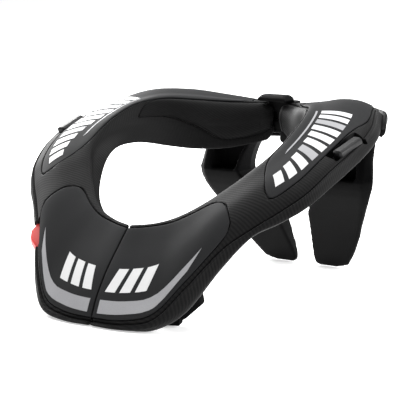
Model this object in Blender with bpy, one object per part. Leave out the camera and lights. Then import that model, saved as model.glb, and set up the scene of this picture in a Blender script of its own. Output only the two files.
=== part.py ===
"""Motocross neck brace: two padded halves hinged at the back on a wishbone stabiliser.

Metres, +Z up. The front of the brace faces -Y and the wearer's left is +X.
"""

import math

import bmesh
import bpy
from mathutils import Matrix, Vector

for old in list(bpy.data.objects):
    bpy.data.objects.remove(old, do_unlink=True)

MM = 0.001

# Driving sizes
neck_radius = 80 * MM       # ring's middle to the inner top edge
rim_radius = 142 * MM       # ring's middle to the widest point of the rim
crest_height = 136.3 * MM   # floor to the highest inner top edge
crown_height = 6.5 * MM     # most that the top swells between inner edge and rim
ring_middle = 123.4 * MM    # lowest front edge back to the ring's middle
box_middle = 119.3 * MM     # lowest front edge back to the middle of the whole length
front_split = 1.2 * MM      # gap between the halves at the front seam
fit = 0.4 * MM              # gap between pieces that touch
panel_thick = 1.6 * MM
panel_draft = 0.6 * MM
seam_groove = 0.9 * MM      # dark line around each panel
rim_swell = 0.8 * MM        # how far the rim bulges above its crease
wall_hollow = 2.0 * MM      # how far the inner wall is drawn in at mid height
recess_overrun = 7.0 * MM   # how far a recess is cut past the skin
cut_overrun = 40.0 * MM     # how far a straight cut runs past the piece

# Ring sections, one row for each turn around the ring from the front seam, in degrees.
# Radii are shares of neck_radius (crest, wall) or rim_radius, heights of crest_height.
ring_columns = (
    "turn", "crest_out", "crest_up", "crown", "crease_out", "crease_up",
    "rim_out", "rim_up", "under_out", "under_up", "wall_out", "wall_up",
)
ring_rows = (
    (0, 1.007, 0.464, 0.62, 0.872, 0.028, 0.883, 0.006, 0.820, 0.000, 0.924, 0.388),
    (13, 0.989, 0.479, 0.62, 0.890, 0.036, 0.900, 0.006, 0.828, 0.000, 0.911, 0.402),
    (24, 0.998, 0.507, 0.68, 0.905, 0.076, 0.912, 0.030, 0.843, 0.014, 0.914, 0.426),
    (34, 1.007, 0.551, 0.79, 0.887, 0.226, 0.896, 0.118, 0.832, 0.100, 0.927, 0.467),
    (46, 1.012, 0.618, 1.00, 0.862, 0.409, 0.874, 0.322, 0.812, 0.306, 0.948, 0.530),
    (56, 1.042, 0.684, 0.98, 0.884, 0.512, 0.893, 0.470, 0.826, 0.452, 0.954, 0.602),
    (64, 1.087, 0.746, 0.87, 0.928, 0.591, 0.941, 0.534, 0.870, 0.518, 0.947, 0.673),
    (71, 1.118, 0.800, 0.67, 0.968, 0.668, 0.982, 0.598, 0.906, 0.584, 0.938, 0.726),
    (80, 1.100, 0.859, 0.51, 0.975, 0.771, 0.995, 0.693, 0.911, 0.683, 0.931, 0.762),
    (90, 1.069, 0.917, 0.41, 0.967, 0.849, 0.992, 0.775, 0.903, 0.760, 0.925, 0.773),
    (103, 1.030, 0.970, 0.60, 0.936, 0.916, 0.965, 0.844, 0.873, 0.815, 0.924, 0.764),
    (118, 0.976, 0.986, 0.95, 0.893, 0.964, 0.921, 0.890, 0.826, 0.820, 0.914, 0.731),
    (134, 0.941, 0.972, 0.92, 0.885, 0.962, 0.912, 0.900, 0.818, 0.818, 0.905, 0.704),
    (150, 0.984, 0.953, 0.70, 0.819, 0.938, 0.849, 0.900, 0.767, 0.811, 0.910, 0.700),
    (163, 1.060, 0.940, 0.42, 0.749, 0.932, 0.778, 0.896, 0.721, 0.814, 0.949, 0.715),
    (172, 1.105, 0.941, 0.20, 0.725, 0.930, 0.749, 0.892, 0.707, 0.825, 1.005, 0.735),
)
# The rounded end of each rear lobe: turn, and the section's size as a share of the last row's.
lobe_end = ((174.8, 0.96), (176.8, 0.85), (178.2, 0.55))

# Control points of a section, counted from the crest over the rim and back up the wall.
section_points = 12


def smooth(rows, at, column):
    """A column's value at a turn, on a smooth curve through the rows."""
    at = min(max(at, rows[0][0]), rows[-1][0])
    i = max(k for k in range(len(rows) - 1) if rows[k][0] <= at)
    here, there = rows[i], rows[i + 1]
    before = rows[max(i - 1, 0)]
    after = rows[min(i + 2, len(rows) - 1)]
    gap = there[0] - here[0]
    share = (at - here[0]) / gap
    slope_here = gap * (there[column] - before[column]) / (there[0] - before[0])
    slope_there = gap * (after[column] - here[column]) / (after[0] - here[0])
    return (
        (2 * share**3 - 3 * share**2 + 1) * here[column]
        + (share**3 - 2 * share**2 + share) * slope_here
        + (3 * share**2 - 2 * share**3) * there[column]
        + (share**3 - share**2) * slope_there
    )


def control_points(turn):
    """The section's twelve control points as (radius, height)."""
    v = {name: smooth(ring_rows, abs(turn), i) for i, name in enumerate(ring_columns)}
    top = Vector((v["crest_out"] * neck_radius, v["crest_up"] * crest_height))
    edge = Vector((v["crease_out"] * rim_radius, v["crease_up"] * crest_height))
    widest = Vector((v["rim_out"] * rim_radius, v["rim_up"] * crest_height))
    below = Vector((v["under_out"] * rim_radius, v["under_up"] * crest_height))
    foot = Vector((v["wall_out"] * neck_radius, v["wall_up"] * crest_height))
    along = (edge - top).normalized()
    swell = Vector((-along.y, along.x)) * v["crown"] * crown_height
    shoulder = edge.lerp(widest, 0.35) + (widest - below).normalized() * rim_swell
    return [
        top,
        top.lerp(edge, 0.25) + 0.6 * swell,
        top.lerp(edge, 0.52) + swell,
        top.lerp(edge, 0.78) + 0.8 * swell,
        edge,
        shoulder,
        widest,
        below,
        below.lerp(foot, 0.35),
        below.lerp(foot, 0.70),
        foot,
        foot.lerp(top, 0.5) + Vector((wall_hollow, 0)),
    ]


def section(turn):
    """Control points of any section, the rounded lobe end included."""
    last = ring_rows[-1][0]
    points = control_points(min(turn, last))
    if turn <= last:
        return points
    size = smooth(((last, 1.0),) + lobe_end, turn, 1)
    middle = sum(points, Vector((0, 0))) / len(points)
    return [middle + (p - middle) * size for p in points]


def skin_point(turn, along):
    """A point of the padded half's skin, at a turn and a place along the section.

    The padding lies flat on the floor where its curve would dip under it.
    """
    points = section(turn)
    i = math.floor(along)
    share = along - i
    a, b, c, d = (points[(i + k) % section_points] for k in (-1, 0, 1, 2))
    flat = 0.5 * (
        2 * b
        + (c - a) * share
        + (2 * a - 5 * b + 4 * c - d) * share**2
        + (3 * b - a - 3 * c + d) * share**3
    )
    angle = math.radians(turn)
    return Vector((
        flat.x * math.sin(angle) + front_split / 2,
        ring_middle - flat.x * math.cos(angle),
        max(flat.y, 0.0),
    ))


def skin_normal(turn, along):
    """The outward direction of the skin."""
    by_turn = skin_point(turn + 0.2, along) - skin_point(turn - 0.2, along)
    by_place = skin_point(turn, along + 0.02) - skin_point(turn, along - 0.02)
    return by_place.cross(by_turn).normalized()


assert skin_normal(90, 2.0).z > 0

# Scene, materials and placing

brace = bpy.data.collections.new("neck_brace")
cutters = bpy.data.collections.new("cutters")
bpy.context.scene.collection.children.link(brace)
bpy.context.scene.collection.children.link(cutters)

materials = {}
# name, colour, roughness, metallic
for name, colour, roughness, metallic in (
    ("ribbed_fabric", (0.024, 0.024, 0.026), 0.62, 0.0),
    ("matte_panel", (0.040, 0.040, 0.042), 0.45, 0.0),
    ("black_plastic", (0.014, 0.014, 0.015), 0.48, 0.0),
    ("red_plastic", (0.62, 0.045, 0.040), 0.40, 0.0),
    ("steel", (0.55, 0.55, 0.56), 0.30, 1.0),
):
    material = bpy.data.materials.new(name)
    material.use_nodes = True
    shader = material.node_tree.nodes["Principled BSDF"]
    shader.inputs["Base Color"].default_value = (*colour, 1.0)
    shader.inputs["Roughness"].default_value = roughness
    shader.inputs["Metallic"].default_value = metallic
    materials[name] = material

to_box_middle = Vector((0, -box_middle, 0))


def place(name, mesh, material, side=1, smooth_shaded=True):
    """A mesh as a piece: mirrored for the wearer's right, centred, faces outward."""
    shape = bmesh.new()
    shape.from_mesh(mesh)
    for vertex in shape.verts:
        vertex.co.x *= side
        vertex.co += to_box_middle
    bmesh.ops.recalc_face_normals(shape, faces=shape.faces)
    if shape.calc_volume(signed=True) < 0:
        bmesh.ops.reverse_faces(shape, faces=shape.faces)
    for face in shape.faces:
        face.smooth = smooth_shaded
    shape.to_mesh(mesh)
    shape.free()
    piece = bpy.data.objects.new(name, mesh)
    if material is None:
        cutters.objects.link(piece)
        piece.hide_render = True
        piece.display_type = "WIRE"
    else:
        brace.objects.link(piece)
        mesh.materials.append(materials[material])
    return piece


def mesh_of(name, points, faces):
    mesh = bpy.data.meshes.new(name)
    mesh.from_pydata([tuple(p) for p in points], [], faces)
    return mesh


def hull(name, corners):
    """The smallest solid around some corners."""
    shape = bmesh.new()
    for corner in corners:
        shape.verts.new(corner)
    made = bmesh.ops.convex_hull(shape, input=shape.verts)
    bmesh.ops.delete(shape, geom=made["geom_interior"], context="VERTS")
    mesh = bpy.data.meshes.new(name)
    shape.to_mesh(mesh)
    shape.free()
    return mesh


def frame_along(origin, along, out):
    """A local frame: X along a line, Y outward at right angles to it, Z upward."""
    out = (out - along * out.dot(along)).normalized()
    up = along.cross(out)
    if up.z < 0:
        up = -up
    return Matrix.Translation(origin) @ Matrix((
        (along.x, out.x, up.x),
        (along.y, out.y, up.y),
        (along.z, out.z, up.z),
    )).to_4x4()


def box_mesh(name, frame, low, high):
    """A box between two corners of a local frame."""
    corners = [
        frame @ Vector((x, y, z))
        for x in (low[0], high[0])
        for y in (low[1], high[1])
        for z in (low[2], high[2])
    ]
    return hull(name, corners)


def rod_mesh(name, start, end, radius, sides=20, dome=0.0):
    """A round rod between two points, with domed ends where asked."""
    start, end = Vector(start), Vector(end)
    along = (end - start).normalized()
    turned = along.to_track_quat("Z", "Y").to_matrix()
    rings = [(start, radius), (end, radius)]
    if dome:
        rings = [
            (start - along * dome * math.sin(a), radius * math.cos(a))
            for a in (1.35, 1.0, 0.5)
        ] + rings
        rings += [
            (end + along * dome * math.sin(a), radius * math.cos(a))
            for a in (0.5, 1.0, 1.35)
        ]
    points = []
    for centre, size in rings:
        for k in range(sides):
            angle = 2 * math.pi * k / sides
            offset = Vector((math.cos(angle), math.sin(angle), 0)) * size
            points.append(centre + turned @ offset)
    return mesh_of(name, points, tube_faces(len(rings), sides))


def tube_faces(rings, sides):
    """Faces of a closed tube of rings, with a flat cap at each end."""
    faces = [
        (
            i * sides + j,
            i * sides + (j + 1) % sides,
            (i + 1) * sides + (j + 1) % sides,
            (i + 1) * sides + j,
        )
        for i in range(rings - 1)
        for j in range(sides)
    ]
    faces.append(tuple(range(sides)))
    faces.append(tuple((rings - 1) * sides + j for j in range(sides)))
    return faces


def boolean(target, tool, operation, solver="EXACT"):
    modifier = target.modifiers.new(operation.lower() + "_" + tool.name, "BOOLEAN")
    modifier.operation = operation
    modifier.solver = solver
    modifier.object = tool


def cut(padded, tool):
    """A recess in a padded half, whose many curved faces the exact solver loses."""
    boolean(padded, tool, "DIFFERENCE", "MANIFOLD")


def spread(rows, between):
    """The rows with others set between them, on smooth curves."""
    turns = []
    for here, there in zip(rows[:-1], rows[1:]):
        for k in range(between + 1):
            turns.append(here[0] + (there[0] - here[0]) * k / (between + 1))
    turns.append(rows[-1][0])
    return [tuple(smooth(rows, t, c) for c in range(len(rows[0]))) for t in turns]


def skin_patch(name, rows, low, high, grow=0.0, draft=0.0, across=4, between=0, swell=None):
    """A solid that follows the skin between two offsets from it.

    Each row gives a turn and the first and last place along the section. The outline is
    widened by grow, and its lower side is drawn in by draft.
    """
    rows = spread(rows, between)
    points = []
    for layer in (low, high):
        for i, (turn, first, last) in enumerate(rows):
            for j in range(across + 1):
                share = j / across
                place_along = first + (last - first) * share
                per_place = (
                    skin_point(turn, place_along + 0.05) - skin_point(turn, place_along)
                ).length / 0.05
                per_turn = (
                    skin_point(turn + 0.5, place_along) - skin_point(turn, place_along)
                ).length / 0.5
                widen = grow - draft if layer == low else grow
                if j == 0:
                    place_along -= widen / per_place
                if j == across:
                    place_along += widen / per_place
                at = turn
                if i == 0:
                    at -= widen / per_turn
                if i == len(rows) - 1:
                    at += widen / per_turn
                lift = layer
                if swell and layer == high:
                    lift += swell(turn) * math.sin(math.pi * share)
                point = skin_point(at, place_along)
                points.append(point + skin_normal(at, place_along) * lift)
    wide = across + 1
    count = len(rows) * wide

    def at_index(layer, i, j):
        return layer * count + i * wide + j

    faces = []
    for i in range(len(rows) - 1):
        for j in range(across):
            square = [(i, j), (i, j + 1), (i + 1, j + 1), (i + 1, j)]
            faces.append([at_index(0, *s) for s in square])
            faces.append([at_index(1, *s) for s in reversed(square)])
    border = [(i, 0) for i in range(len(rows))]
    border += [(len(rows) - 1, j) for j in range(1, wide)]
    border += [(i, across) for i in range(len(rows) - 2, -1, -1)]
    border += [(0, j) for j in range(across - 1, 0, -1)]
    for here, there in zip(border, border[1:] + border[:1]):
        faces.append(
            [at_index(0, *here), at_index(0, *there), at_index(1, *there), at_index(1, *here)]
        )
    return mesh_of(name, points, faces)


# Padded halves

def half_mesh(name):
    turns = [row[0] for row in spread([(r[0],) for r in ring_rows], 1)]
    turns += [row[0] for row in lobe_end]
    per_loop = 2 * section_points
    points = [
        skin_point(turn, place_along / 2)
        for turn in turns
        for place_along in range(per_loop)
    ]
    return mesh_of(name, points, tube_faces(len(turns), per_loop))


# Chest panel: turn, and its edges as places between crest and crease.
chest_rows = (
    (0, 0.20, 3.80),
    (14, 0.20, 3.78),
    (26, 0.28, 3.70),
    (36, 0.40, 3.64),
    (43, 0.56, 3.60),
    (46.5, 0.76, 3.50),
    (48.6, 1.10, 3.30),
    (49.6, 1.60, 2.90),
)
# Shoulder panel, wider where its flap covers the strap hook.
shoulder_rows = (
    (62.4, 2.40, 2.86),
    (63.4, 1.90, 3.02),
    (65.5, 1.20, 3.06),
    (69.4, 0.46, 3.00),
    (74.0, 0.16, 2.98),
    (80.0, 0.12, 2.96),
    (86.0, 0.12, 2.92),
    (93.0, 0.12, 2.96),
    (99.0, 0.12, 3.16),
    (104.0, 0.12, 3.44),
    (108.0, 0.12, 3.60),
    (116.0, 0.12, 3.70),
    (128.0, 0.12, 3.74),
    (140.0, 0.12, 3.72),
    (150.0, 0.14, 3.62),
    (157.5, 0.20, 3.44),
    (162.0, 0.40, 3.10),
    (164.5, 0.90, 2.50),
)
# Inner pad, from the low seam on the wall up to the crest.
pad_rows = (
    (99.0, 11.30, 11.62),
    (103.0, 11.24, 11.84),
    (112.0, 11.24, 11.90),
    (122.0, 11.18, 11.90),
    (129.0, 11.06, 11.90),
    (135.0, 10.92, 11.90),
    (141.0, 10.74, 11.90),
    (147.0, 10.54, 11.90),
    (154.0, 10.42, 11.90),
    (161.0, 10.42, 11.90),
    (168.0, 10.44, 11.90),
    (173.0, 10.50, 11.88),
    (176.6, 10.66, 11.82),
)
pad_depth = 5.0 * MM
pad_swell = 3.6 * MM
pad_groove = 0.9 * MM
pad_draft = 1.6 * MM


def pad_swell_at(turn):
    """The pads are fattest just before the lobes meet."""
    return pad_swell * math.exp(-(((turn - 162) / 32) ** 2)) + 0.5 * MM


# Strap hook: a bar along the rim over a scoop in the pad
hook_ends = ((85.0, 3.495), (94.25, 3.774))     # turn and place of each end
hook_sink = 0.25 * MM       # bar's middle line under the skin
hook_half_wide = 2.8 * MM   # bar, outward
hook_half_tall = 2.6 * MM
hook_bevel = 1.2 * MM
hook_reach = 3.5 * MM       # scoop beyond each end of the bar
hook_base_thick = 2.0 * MM
hook_slot = 2.6 * MM        # room for a strap under the bar
hook_post = 4.0 * MM
scoop_in = 7.6 * MM         # scoop on the neck's side of the bar
scoop_out = 3.6 * MM        # scoop on the rim's side of the bar
hook_tilt = 6.0             # degrees that the scoop's floor falls outward

hook_front, hook_back = (
    skin_point(*end) - skin_normal(*end) * hook_sink for end in hook_ends
)
hook_length = (hook_back - hook_front).length
hook_floor = -(hook_half_tall + hook_slot + hook_base_thick)
hook_frame = frame_along(
    (hook_front + hook_back) / 2, (hook_back - hook_front).normalized(), Vector((1, 0, 0))
)
hook_seat = hook_frame @ Matrix.Rotation(math.radians(-hook_tilt), 4, "X")


def hook_mesh_parts(side_name):
    """The bar with bevelled edges, its base plate and its two posts."""
    end = hook_length / 2 + hook_half_wide
    bar = hull("bar_" + side_name, [
        hook_frame @ Vector((x * (end - cut_x), y * (hook_half_wide - cut_y),
                             z * (hook_half_tall - cut_z)))
        for x in (-1, 1) for y in (-1, 1) for z in (-1, 1)
        for cut_x, cut_y, cut_z in (
            (0, hook_bevel, hook_bevel), (hook_bevel, 0, hook_bevel), (hook_bevel, hook_bevel, 0),
        )
    ])
    base = box_mesh("base_" + side_name, hook_seat,
                    (-end, fit - scoop_in, hook_floor),
                    (end, scoop_out - fit, hook_floor + hook_base_thick))
    posts = [
        box_mesh("post_" + side_name, hook_seat,
                 (side * hook_length / 2 - hook_post / 2, -hook_half_wide * 0.8,
                  hook_floor + hook_base_thick / 4),
                 (side * hook_length / 2 + hook_post / 2, hook_half_wide * 0.8, 0))
        for side in (-1, 1)
    ]
    return bar, base, posts


# Red release tab in a notch of the wearer's right rim
tab_turn = 45.5
tab_long = 23.0 * MM
tab_deep = 15.0 * MM
tab_thick = 8.5 * MM
tab_proud = 3.4 * MM
tab_sink = 1.6 * MM         # the tab's corners sit this far inside the rim
tab_travel = 2.5 * MM
tab_place = 5.35            # place along the section
tab_headroom = 12.0 * MM    # notch above the tab

# Latch under the wearer's left chest panel, in millimetres: corners of its foot and of
# its arm, outward and back from the padding's underside there and up from the floor.
# Their tops sit in a pocket in the padding.
latch_root = (26.9, 7.47)   # turn and place
latch_foot = (
    (-8.4, 0.8, 0.4), (5.6, 4.8, 0.8), (1.6, 12.8, 1.0),
    (-11.4, 8.8, 0.6), (-6.4, 3.8, 24), (6.6, 7.8, 24),
    (1.6, 15.8, 28), (-9.4, 11.8, 28),
)
latch_arm = (
    (2.6, 6.8, 2), (6.6, 10.8, 5), (12.6, 19.8, 13),
    (10.6, 26.8, 14), (3.6, 20.8, 8), (4.6, 11.8, 26),
    (9.6, 19.8, 34), (7.6, 25.8, 36), (1.6, 20.8, 32),
)
latch_pocket = 0.9 * MM     # corners of the pocket beyond the latch's

# Hinge at the back
web_half = 1.4 * MM         # half the wall between the two knuckles
knuckle_radius = 4.4 * MM
pin_radius = 1.6 * MM
pin_play = 0.3 * MM
block_wall = 3.2 * MM       # block beyond each knuckle
block_round = 2.4 * MM      # rounding of the block's top edge
block_drop = 3.7 * MM       # block's top under the highest crest
slot_drop = 10.4 * MM       # slots under the block's top
slot_tall = 7.2 * MM
block_sole = 9.4 * MM       # block under the slots
pin_sole = 3.0 * MM         # block under each pin
pin_cover = 4.1 * MM        # block over each pin
cap_drop = 0.7 * MM         # bridging cap's top under the highest crest
cap_thick = 4.9 * MM
cap_half_wide = 13.5 * MM
cap_ahead = 16.0 * MM       # cap's front edge ahead of the pins
cap_behind = -4.0 * MM
cap_slope = 2.5 * MM        # how far the cap's sides lean in at the top
hinge_reach = 95.6 * MM     # ring's middle back to the pins
arm_reach = 34.0 * MM
arm_half_wide = 3.6 * MM
arm_turn = 5.0              # degrees that the tongue turns forward, along the lobe
swing_gap = 1.2 * MM        # between the block and the padded half

hinge_back = ring_middle + hinge_reach
hinge_spread = web_half + fit + knuckle_radius
block_radius = knuckle_radius + block_wall
block_top = crest_height - block_drop
slot_high = block_top - slot_drop
slot_low = slot_high - slot_tall
block_foot = slot_low - block_sole
pin_low = block_foot + pin_sole
pin_high = block_top - pin_cover
arm_low = slot_low + fit
arm_high = slot_high - fit

# Stabiliser, hung under the hinge block
stabiliser_height = block_foot - fit
stabiliser_half_width = 85.4 * MM
stabiliser_depth = 30.4 * MM
stabiliser_lead = 7.8 * MM  # foremost edge ahead of the pins
relief_start = 18.0 * MM    # from the middle: the top falls away to let the lobes swing
relief_full = 27.0 * MM
relief_deep = 2.5 * MM

# Sections up one leg. Half-widths, from the middle to the window, the front face's edge,
# the outer corner and the rear face's edge, are shares of stabiliser_half_width. Depths
# behind the foremost edge are shares of stabiliser_depth.
stabiliser_columns = (
    "height", "window", "face", "corner", "rear", "face_back", "corner_back", "rear_back",
)
stabiliser_rows = (
    (0.000, 0.141, 0.351, 0.369, 0.340, 0.888, 0.934, 0.987),
    (0.024, 0.109, 0.468, 0.489, 0.445, 0.868, 0.921, 1.000),
    (0.061, 0.103, 0.508, 0.525, 0.480, 0.829, 0.895, 0.993),
    (0.147, 0.122, 0.597, 0.610, 0.550, 0.711, 0.776, 0.974),
    (0.265, 0.155, 0.696, 0.710, 0.609, 0.546, 0.612, 0.934),
    (0.341, 0.176, 0.742, 0.760, 0.644, 0.434, 0.503, 0.908),
    (0.407, 0.192, 0.785, 0.813, 0.679, 0.332, 0.408, 0.882),
    (0.469, 0.234, 0.822, 0.862, 0.714, 0.237, 0.309, 0.855),
    (0.530, 0.299, 0.857, 0.911, 0.738, 0.138, 0.220, 0.829),
    (0.587, 0.375, 0.885, 0.952, 0.761, 0.053, 0.155, 0.803),
    (0.644, 0.457, 0.902, 0.984, 0.779, 0.007, 0.132, 0.776),
    (0.701, 0.504, 0.909, 1.000, 0.790, 0.000, 0.128, 0.757),
    (0.767, 0.489, 0.906, 0.986, 0.796, 0.053, 0.207, 0.750),
    (0.833, 0.456, 0.899, 0.970, 0.796, 0.118, 0.276, 0.750),
    (0.881, 0.422, 0.895, 0.970, 0.796, 0.158, 0.316, 0.757),
    (0.924, 0.375, 0.892, 0.972, 0.796, 0.191, 0.349, 0.763),
    (0.947, 0.304, 0.892, 0.974, 0.796, 0.204, 0.362, 0.770),
    (0.959, 0.234, 0.892, 0.975, 0.796, 0.211, 0.368, 0.773),
    (0.972, 0.000, 0.892, 0.977, 0.796, 0.217, 0.372, 0.776),
    (1.000, 0.000, 0.888, 0.967, 0.790, 0.237, 0.388, 0.783),
)
crease_share = 0.704        # the pocket behind the face starts at this share of the height
pocket_top_share = 0.956
pocket_deep = 13.8 * MM     # pocket's floor behind the foremost edge
pocket_draft = 9.0 * MM     # how much nearer the middle the pocket's outer wall is at its floor
pocket_steps = 7
window_rim = 3.2 * MM       # face left around the window



def cap_mesh():
    """The cap that bridges the lobes' tops, its sides leaning in."""
    top = crest_height - cap_drop
    return hull("block_cap", [
        Vector((side * (cap_half_wide - lean), hinge_back + behind, height))
        for lean, inset, height in (
            (0, 0, top - cap_thick), (0, 0, top - cap_slope), (cap_slope, cap_slope, top),
        )
        for side in (-1, 1)
        for behind in (inset - cap_ahead, cap_behind - inset)
    ])


# Rear shell under the rim of each half: turn, first and last place along the section
shell_rows = (
    (112.0, 5.75, 6.20),
    (116.0, 5.60, 6.34),
    (124.0, 5.50, 6.40),
    (134.0, 5.50, 6.40),
    (144.0, 5.52, 6.38),
    (150.0, 5.66, 6.24),
)
shell_thick = 3.6 * MM


def stabiliser_point(across, behind, up):
    """A point from shares of the stabiliser's half width, depth and height."""
    return Vector((
        across * stabiliser_half_width,
        hinge_back - stabiliser_lead + behind * stabiliser_depth,
        up * stabiliser_height,
    ))


def stabiliser_mesh():
    """Half a wishbone lofted up its sections, then mirrored to a whole one."""
    points, faces = [], []
    for height, window, face, corner, rear, face_back, corner_back, rear_back in stabiliser_rows:
        points += [
            stabiliser_point(window, face_back, height),
            stabiliser_point(face, face_back, height),
            stabiliser_point(corner, corner_back, height),
            stabiliser_point(rear, rear_back, height),
            stabiliser_point(window, rear_back, height),
        ]
    count = len(stabiliser_rows)
    for i in range(count - 1):
        on_middle = stabiliser_rows[i][1] == 0
        for j in range(4 if on_middle else 5):
            faces.append(
                (i * 5 + j, i * 5 + (j + 1) % 5, i * 5 + 5 + (j + 1) % 5, i * 5 + 5 + j)
            )
    faces.append(tuple(range(5)))
    faces.append(tuple((count - 1) * 5 + j for j in range(5)))
    shape = bmesh.new()
    shape.from_mesh(mesh_of("stabiliser_half", points, faces))
    bmesh.ops.mirror(shape, geom=shape.verts[:] + shape.edges[:] + shape.faces[:],
                     axis="X", merge_dist=1e-6)
    bmesh.ops.remove_doubles(shape, verts=shape.verts, dist=1e-6)
    mesh = bpy.data.meshes.new("stabiliser")
    shape.to_mesh(mesh)
    shape.free()
    return mesh


def pocket_mesh():
    """The hollow above the crease, between the window's rim and the outer corner."""
    window_column = stabiliser_columns.index("window")
    face_column = stabiliser_columns.index("face")
    front = hinge_back - stabiliser_lead - cut_overrun
    floor = hinge_back - stabiliser_lead + pocket_deep
    points = []
    for step in range(pocket_steps + 1):
        share = crease_share + (pocket_top_share - crease_share) * step / pocket_steps
        window = smooth(stabiliser_rows, share, window_column) * stabiliser_half_width
        window += window_rim
        face = smooth(stabiliser_rows, share, face_column) * stabiliser_half_width
        height = share * stabiliser_height
        points += [
            Vector((window, front, height)),
            Vector((face, front, height)),
            Vector((face - pocket_draft, floor, height)),
            Vector((window, floor, height)),
        ]
    return mesh_of("pocket", points, tube_faces(pocket_steps + 1, 4))


def relief_mesh():
    """What the stabiliser's top loses on one side, so that the open lobe clears it."""
    low = stabiliser_height - relief_deep
    high = stabiliser_height + cut_overrun
    wide = stabiliser_half_width + cut_overrun
    return hull("relief", [
        Vector((across, hinge_back + behind, up))
        for behind in (-cut_overrun, cut_overrun)
        for across, up in (
            (relief_start, stabiliser_height), (relief_full, low), (wide, low),
            (wide, high), (relief_start, high),
        )
    ])


def stadium_mesh(name, spread_out, rings, sides=12):
    """An upright slab with a half-round at each end, as rings of (height, radius)."""
    points = []
    for height, radius in rings:
        for end in (1, -1):
            for k in range(sides + 1):
                angle = end * math.pi / 2 * (2 * k / sides - 1)
                across = end * (spread_out + radius * math.cos(angle))
                points.append(Vector((across, hinge_back + radius * math.sin(angle), height)))
    return mesh_of(name, points, tube_faces(len(rings), 2 * (sides + 1)))


def hinge_arm_mesh(name, grow=0.0, low=0.0, high=0.0):
    """A round knuckle around the pin with a tongue that runs into the padded half."""
    outline = []
    for k in range(17):
        angle = math.radians(40) + math.radians(280) * k / 16
        radius = knuckle_radius + grow
        outline.append((radius * math.cos(angle), radius * math.sin(angle)))
    end = arm_reach + grow
    wide = arm_half_wide + grow
    outline += [(knuckle_radius, -wide), (end, -wide), (end, wide), (knuckle_radius, wide)]
    pin_foot = Vector((hinge_spread, hinge_back, 0))
    turned = Matrix.Rotation(math.radians(-arm_turn), 3, "Z")
    points = [pin_foot + turned @ Vector((x, y, z)) for z in (low, high) for x, y in outline]
    return mesh_of(name, points, tube_faces(2, len(outline)))


def upright(name, x, radius, low, high, sides=20):
    return rod_mesh(name, (x, hinge_back, low), (x, hinge_back, high), radius, sides)


for side_name, side in (("left", 1), ("right", -1)):
    # Padded half with its recesses
    half = place("foam_frame_" + side_name, half_mesh("foam_frame"), "ribbed_fabric", side)
    recess_low = -(panel_thick + 1.5 * fit)
    for label, rows in (("chest", chest_rows), ("shoulder", shoulder_rows)):
        cut_mesh = skin_patch(label + "_recess", rows, recess_low, recess_overrun,
                              grow=seam_groove)
        cut(half, place(label + "_recess_" + side_name, cut_mesh, None, side))
        panel = skin_patch(label + "_panel", rows, -panel_thick, 0.0, draft=panel_draft)
        place(label + "_panel_" + side_name, panel, "matte_panel", side)
    pad_cut = skin_patch("pad_recess", pad_rows, -pad_depth - 2 * fit, recess_overrun,
                         grow=pad_groove)
    cut(half, place("pad_recess_" + side_name, pad_cut, None, side))
    pad = skin_patch("inner_pad", pad_rows, -pad_depth, 0.0, draft=pad_draft,
                     swell=pad_swell_at)
    pad = place("inner_pad_" + side_name, pad, "ribbed_fabric", side)

    # Strap hook in its scoop
    reach = hook_length / 2 + hook_half_wide + hook_reach
    scoop = box_mesh("hook_scoop", hook_seat,
                     (-reach, -scoop_in, hook_floor - fit),
                     (reach, scoop_out, cut_overrun))
    cut(half, place("hook_scoop_" + side_name, scoop, None, side))
    bar, base, posts = hook_mesh_parts(side_name)
    hook = place("strap_hook_" + side_name, bar, "black_plastic", side, False)
    boolean(hook, place("hook_base_" + side_name, base, None, side, False), "UNION")
    for number, post in enumerate(posts):
        tool = place(f"hook_post_{number}_{side_name}", post, None, side, False)
        boolean(hook, tool, "UNION")

    # Hinge: room around the block, a tongue in the half, a pin through the knuckle
    room = upright("hinge_room", hinge_spread, block_radius + swing_gap,
                   block_foot - cut_overrun, block_top + cut_overrun, 32)
    room = place("hinge_room_" + side_name, room, None, side)
    cut(half, room)
    cut(pad, room)
    middle_room = box_mesh("middle_room", Matrix.Identity(4),
                           (-cut_overrun, hinge_back, block_foot - cut_overrun),
                           (hinge_spread, hinge_back + cut_overrun, block_top + cut_overrun))
    cut(half, place("middle_room_" + side_name, middle_room, None, side))
    pocket = hinge_arm_mesh("arm_pocket", fit, arm_low - fit, arm_high + fit)
    pocket = place("arm_pocket_" + side_name, pocket, None, side)
    cut(half, pocket)
    cut(pad, pocket)
    arm = place("hinge_arm_" + side_name,
                hinge_arm_mesh("hinge_arm", 0.0, arm_low, arm_high),
                "black_plastic", side, False)
    eye = upright("arm_eye", hinge_spread, pin_radius + pin_play, pin_low, pin_high)
    boolean(arm, place("arm_eye_" + side_name, eye, None, side), "DIFFERENCE")
    pin = upright("hinge_pin", hinge_spread, pin_radius, pin_low, pin_high)
    place("hinge_pin_" + side_name, pin, "steel", side)

    # Hard shell behind the lobe
    shell = skin_patch("rear_shell", shell_rows, fit, fit + shell_thick, between=1)
    place("rear_shell_" + side_name, shell, "black_plastic", side)

# Release tab and its notch, on the wearer's right
tab_root = skin_point(tab_turn, tab_place)
tab_step = 3.0              # degrees either way, for the rim's direction at the tab
tab_angle = math.radians(tab_turn)
tab_frame = frame_along(
    tab_root,
    (skin_point(tab_turn + tab_step, tab_place)
     - skin_point(tab_turn - tab_step, tab_place)).normalized(),
    Vector((math.sin(tab_angle), -math.cos(tab_angle), 0)),
)
tab_tip = 0.45              # shares of the half length where the blunt point starts and ends
tab_peak = -0.1


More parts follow.
